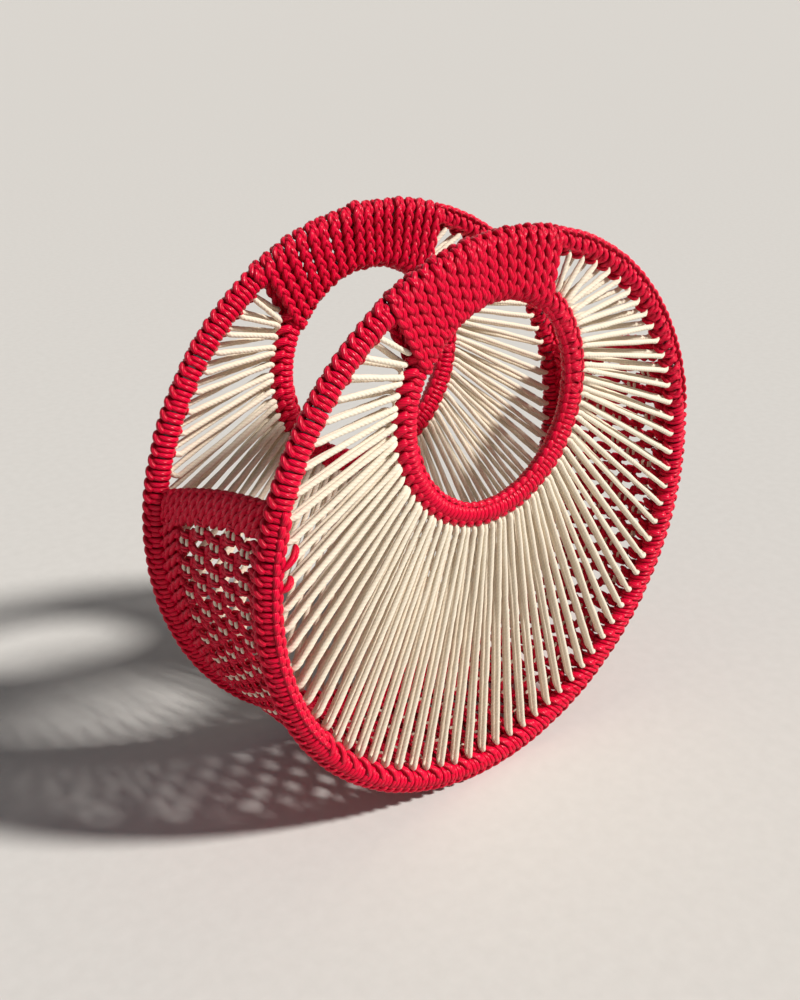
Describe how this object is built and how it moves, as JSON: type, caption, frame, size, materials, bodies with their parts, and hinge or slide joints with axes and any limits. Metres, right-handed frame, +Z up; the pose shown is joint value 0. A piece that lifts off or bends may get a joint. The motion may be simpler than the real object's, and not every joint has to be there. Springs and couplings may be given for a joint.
{
  "type": "macrame evening bag",
  "caption": "Round macrame evening bag: two laced hoop panels with wound grips, joined by a knotted net gusset that is open at the top.",
  "frame": {"origin": "on the ground, midway between the two panels' resting flats", "axes": "+Z up, -Y towards the front panel, +X to the right as seen from the front"},
  "size_m": [0.3139, 0.1146, 0.3139],
  "materials": {
    "hoop_steel": "plain drawn steel ring, hidden by cord",
    "red_cord": "glossy braided polyester cord, knotted and wound",
    "cream_cord": "matt cotton cord, laced"
  },
  "bodies": {
    "gusset": {"gusset_bottom_net": "red_cord", "gusset_left_net": "red_cord", "gusset_right_net": "red_cord", "gusset_left_bar": "red_cord", "gusset_right_bar": "red_cord"},
    "front_panel": {"front_outer_hoop": "hoop_steel", "front_inner_hoop": "hoop_steel", "front_outer_cover": "red_cord", "front_inner_cover": "red_cord", "front_grip_winding": "red_cord", "front_lacing_1": "cream_cord", "front_lacing_2": "cream_cord", "front_lacing_3": "cream_cord", "front_lacing_4": "cream_cord", "front_lacing_5": "cream_cord"},
    "rear_panel": {"rear_outer_hoop": "hoop_steel", "rear_inner_hoop": "hoop_steel", "rear_outer_cover": "red_cord", "rear_inner_cover": "red_cord", "rear_grip_winding": "red_cord", "rear_lacing_1": "cream_cord", "rear_lacing_2": "cream_cord", "rear_lacing_3": "cream_cord", "rear_lacing_4": "cream_cord", "rear_lacing_5": "cream_cord"}
  },
  "joints": [
    {"name": "front_panel_lean", "type": "hinge", "parent": "gusset", "child": "front_panel", "pos_m": [0, -0.0497, 0.0065], "axis": [-1, 0, 0], "range_deg": [-3, 7.5], "deforming": ["gusset_left_net", "gusset_right_net", "gusset_left_bar", "gusset_right_bar"]},
    {"name": "rear_panel_lean", "type": "hinge", "parent": "gusset", "child": "rear_panel", "pos_m": [0, 0.0497, 0.0065], "axis": [1, 0, 0], "range_deg": [-3, 7.5], "deforming": ["gusset_left_net", "gusset_right_net", "gusset_left_bar", "gusset_right_bar"]}
  ]
}
